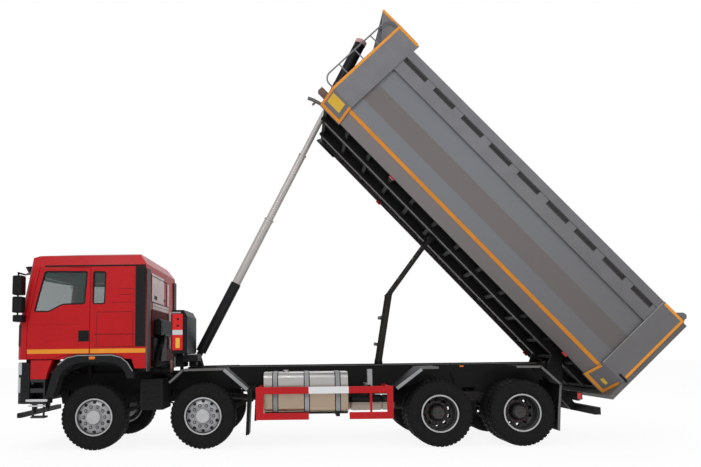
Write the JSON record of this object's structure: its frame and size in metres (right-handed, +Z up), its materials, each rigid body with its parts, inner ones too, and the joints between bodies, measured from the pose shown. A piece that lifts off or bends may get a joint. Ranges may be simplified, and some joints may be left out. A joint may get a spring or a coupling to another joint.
{
  "type": "dump truck",
  "caption": "Four-axle dump truck with a tilting cab and a long steel bed shown raised on its front hoist.",
  "frame": {"origin": "centre of the whole truck's bounding box in X and Y, on the ground under the tyres", "axes": "+X towards the tailgate, +Y towards the truck's right-hand side, +Z up"},
  "size_m": [11.3422, 2.88, 7.618],
  "materials": {
    "air_tank_metal": "silver paint",
    "arch_plastic": "dark grey plastic",
    "axle_iron": "dark painted castings",
    "battery_plastic": "black plastic",
    "bed_paint": "grey paint with bright edges",
    "bumper_paint": "black paint",
    "bumper_plastic": "dark grey paint",
    "cab_glass": "tinted glass",
    "cab_paint": "bright red gloss paint",
    "cleaner_plastic": "black plastic",
    "cover_paint": "dark paint",
    "engine_iron": "grey castings",
    "frame_paint": "satin black chassis paint",
    "front_wheel_paint": "silver paint",
    "fuel_tank_metal": "bright rolled aluminium",
    "gate_paint": "dark grey paint",
    "grille_plastic": "dark plastic",
    "guard_paint": "white and red paint",
    "hoist_paint": "black paint",
    "interior_fabric": "grey trim",
    "knuckle_iron": "dark forging",
    "mirror_plastic": "black plastic",
    "mudguard_plastic": "black plastic",
    "muffler_metal": "dull steel",
    "oil_tank_paint": "gloss black paint",
    "rail_paint": "grey paint",
    "rear_wheel_paint": "silver paint with dark hub",
    "spring_paint": "dark painted spring steel",
    "stabiliser_paint": "dark paint",
    "stage_steel": "burnished dark steel",
    "step_paint": "red paint and dark treads",
    "trim_plastic": "black plastic",
    "tyre_rubber": "black rubber",
    "underframe_paint": "black paint"
  },
  "bodies": {
    "chassis": {"chassis_frame": "frame_paint", "axles": "axle_iron", "leaf_springs": "spring_paint", "driveline": "engine_iron", "fuel_tank": "fuel_tank_metal", "oil_tank": "oil_tank_paint", "air_tanks": "air_tank_metal", "muffler": "muffler_metal", "battery_box": "battery_plastic", "air_cleaner": "cleaner_plastic", "side_guards": "guard_paint", "mudguards": "mudguard_plastic", "rear_bumper": "bumper_paint", "front_bumper": "bumper_plastic", "wheel_arches": "arch_plastic", "cab_steps": "step_paint"},
    "cab": {"cab_shell": "cab_paint", "cab_glass": "cab_glass", "grille_panel": "grille_plastic", "mirrors": "mirror_plastic", "cab_trim": "trim_plastic", "cab_interior": "interior_fabric"},
    "bed": {"bed_body": "bed_paint", "bed_underframe": "underframe_paint", "bed_front_rail": "rail_paint"},
    "tailgate_body": {"tailgate": "gate_paint"},
    "door_left_body": {"door_left": "cab_paint", "door_glass_left": "cab_glass"},
    "door_right_body": {"door_right": "cab_paint", "door_glass_right": "cab_glass"},
    "knuckle_axle1_left_body": {"knuckle_axle1_left": "knuckle_iron"},
    "knuckle_axle1_right_body": {"knuckle_axle1_right": "knuckle_iron"},
    "knuckle_axle2_left_body": {"knuckle_axle2_left": "knuckle_iron"},
    "knuckle_axle2_right_body": {"knuckle_axle2_right": "knuckle_iron"},
    "wheel_axle1_left_body": {"wheel_axle1_left": "front_wheel_paint", "tyre_axle1_left": "tyre_rubber"},
    "wheel_axle1_right_body": {"wheel_axle1_right": "front_wheel_paint", "tyre_axle1_right": "tyre_rubber"},
    "wheel_axle2_left_body": {"wheel_axle2_left": "front_wheel_paint", "tyre_axle2_left": "tyre_rubber"},
    "wheel_axle2_right_body": {"wheel_axle2_right": "front_wheel_paint", "tyre_axle2_right": "tyre_rubber"},
    "wheel_axle3_left_body": {"wheel_axle3_left": "rear_wheel_paint", "tyre_axle3_left": "tyre_rubber"},
    "wheel_axle3_right_body": {"wheel_axle3_right": "rear_wheel_paint", "tyre_axle3_right": "tyre_rubber"},
    "wheel_axle4_left_body": {"wheel_axle4_left": "rear_wheel_paint", "tyre_axle4_left": "tyre_rubber"},
    "wheel_axle4_right_body": {"wheel_axle4_right": "rear_wheel_paint", "tyre_axle4_right": "tyre_rubber"},
    "hoist_base_body": {"hoist_base": "hoist_paint"},
    "hoist_stage_1_body": {"hoist_stage_1": "stage_steel"},
    "hoist_stage_2_body": {"hoist_stage_2": "stage_steel"},
    "hoist_stage_3_body": {"hoist_stage_3": "stage_steel"},
    "hoist_cover_body": {"hoist_cover": "cover_paint"},
    "stabiliser_lower_body": {"stabiliser_lower": "stabiliser_paint"},
    "stabiliser_upper_body": {"stabiliser_upper": "stabiliser_paint"}
  },
  "joints": [
    {"name": "cab_tilt", "type": "hinge", "parent": "chassis", "child": "cab", "pos_m": [-5.47411, 0, 1.12], "axis": [0, -1, 0], "range_deg": [0, 50]},
    {"name": "door_left_swing", "type": "hinge", "parent": "cab", "child": "door_left_body", "pos_m": [-5.26911, -1.246, 2.2], "axis": [0, 0, -1], "range_deg": [0, 70]},
    {"name": "door_right_swing", "type": "hinge", "parent": "cab", "child": "door_right_body", "pos_m": [-5.26911, 1.246, 2.2], "axis": [0, 0, 1], "range_deg": [0, 70]},
    {"name": "steer_axle1_left", "type": "hinge", "parent": "chassis", "child": "knuckle_axle1_left_body", "pos_m": [-4.17411, -0.8, 0.542], "axis": [0, 0, 1], "range_deg": [-36, 36]},
    {"name": "steer_axle1_right", "type": "hinge", "parent": "chassis", "child": "knuckle_axle1_right_body", "pos_m": [-4.17411, 0.8, 0.542], "axis": [0, 0, 1], "range_deg": [-36, 36]},
    {"name": "steer_axle2_left", "type": "hinge", "parent": "chassis", "child": "knuckle_axle2_left_body", "pos_m": [-2.37411, -0.8, 0.542], "axis": [0, 0, 1], "range_deg": [-25.92, 25.92]},
    {"name": "steer_axle2_right", "type": "hinge", "parent": "chassis", "child": "knuckle_axle2_right_body", "pos_m": [-2.37411, 0.8, 0.542], "axis": [0, 0, 1], "range_deg": [-25.92, 25.92]},
    {"name": "spin_axle1_left", "type": "hinge", "parent": "knuckle_axle1_left_body", "child": "wheel_axle1_left_body", "pos_m": [-4.17411, -1.011, 0.542], "axis": [0, 1, 0], "continuous": true},
    {"name": "spin_axle1_right", "type": "hinge", "parent": "knuckle_axle1_right_body", "child": "wheel_axle1_right_body", "pos_m": [-4.17411, 1.011, 0.542], "axis": [0, 1, 0], "continuous": true},
    {"name": "spin_axle2_left", "type": "hinge", "parent": "knuckle_axle2_left_body", "child": "wheel_axle2_left_body", "pos_m": [-2.37411, -1.011, 0.542], "axis": [0, 1, 0], "continuous": true},
    {"name": "spin_axle2_right", "type": "hinge", "parent": "knuckle_axle2_right_body", "child": "wheel_axle2_right_body", "pos_m": [-2.37411, 1.011, 0.542], "axis": [0, 1, 0], "continuous": true},
    {"name": "spin_axle3_left", "type": "hinge", "parent": "chassis", "child": "wheel_axle3_left_body", "pos_m": [1.52589, -0.915, 0.542], "axis": [0, 1, 0], "continuous": true},
    {"name": "spin_axle3_right", "type": "hinge", "parent": "chassis", "child": "wheel_axle3_right_body", "pos_m": [1.52589, 0.915, 0.542], "axis": [0, 1, 0], "continuous": true},
    {"name": "spin_axle4_left", "type": "hinge", "parent": "chassis", "child": "wheel_axle4_left_body", "pos_m": [2.87589, -0.915, 0.542], "axis": [0, 1, 0], "continuous": true},
    {"name": "spin_axle4_right", "type": "hinge", "parent": "chassis", "child": "wheel_axle4_right_body", "pos_m": [2.87589, 0.915, 0.542], "axis": [0, 1, 0], "continuous": true},
    {"name": "bed_tip", "type": "hinge", "parent": "chassis", "child": "bed", "pos_m": [3.77589, 0, 1.45], "axis": [0, 1, 0], "range_deg": [-47.3, 0]},
    {"name": "tailgate_swing", "type": "hinge", "parent": "bed", "child": "tailgate_body", "pos_m": [5.63584, 0, 2.08864], "axis": [0, -1, 0], "range_deg": [0, 80]},
    {"name": "hoist_tilt", "type": "hinge", "parent": "chassis", "child": "hoist_base_body", "pos_m": [-2.63411, 0, 1.5], "axis": [0, 1, 0], "range_deg": [-20.89, 0]},
    {"name": "hoist_slide_1", "type": "slide", "parent": "hoist_base_body", "child": "hoist_stage_1_body", "axis": [0.4622, 0, 0.8868], "range_m": [-1.3305, 0]},
    {"name": "hoist_slide_2", "type": "slide", "parent": "hoist_stage_1_body", "child": "hoist_stage_2_body", "axis": [0.4622, 0, 0.8868], "range_m": [-1.3605, 0]},
    {"name": "hoist_slide_3", "type": "slide", "parent": "hoist_stage_2_body", "child": "hoist_stage_3_body", "axis": [0.4622, 0, 0.8868], "range_m": [-1.1845, 0]},
    {"name": "hoist_slide_4", "type": "slide", "parent": "hoist_stage_3_body", "child": "hoist_cover_body", "axis": [0.4622, 0, 0.8868], "range_m": [-1.1845, 0]},
    {"name": "stabiliser_foot", "type": "hinge", "parent": "chassis", "child": "stabiliser_lower_body", "pos_m": [0.68689, 0, 1.396], "axis": [0, 1, 0], "range_deg": [-99.31, 0]},
    {"name": "stabiliser_head", "type": "hinge", "parent": "bed", "child": "stabiliser_upper_body", "pos_m": [1.66442, 0, 3.62316], "axis": [0, 1, 0], "range_deg": [0, 102.16]}
  ],
  "couplings": [
    {"joint": "steer_axle1_right", "follows": "steer_axle1_left", "ratio": 1},
    {"joint": "steer_axle2_left", "follows": "steer_axle1_left", "ratio": 0.72},
    {"joint": "steer_axle2_right", "follows": "steer_axle1_left", "ratio": 0.72},
    {"joint": "hoist_tilt", "follows": "bed_tip", "ratio": 0.44154},
    {"joint": "hoist_slide_1", "follows": "bed_tip", "m_per_rad": 1.6111},
    {"joint": "hoist_slide_2", "follows": "bed_tip", "m_per_rad": 1.6474},
    {"joint": "hoist_slide_3", "follows": "bed_tip", "m_per_rad": 1.4342},
    {"joint": "hoist_slide_4", "follows": "bed_tip", "m_per_rad": 1.4342},
    {"joint": "stabiliser_foot", "follows": "bed_tip", "ratio": 2.0985},
    {"joint": "stabiliser_head", "follows": "bed_tip", "ratio": -2.1587}
  ]
}
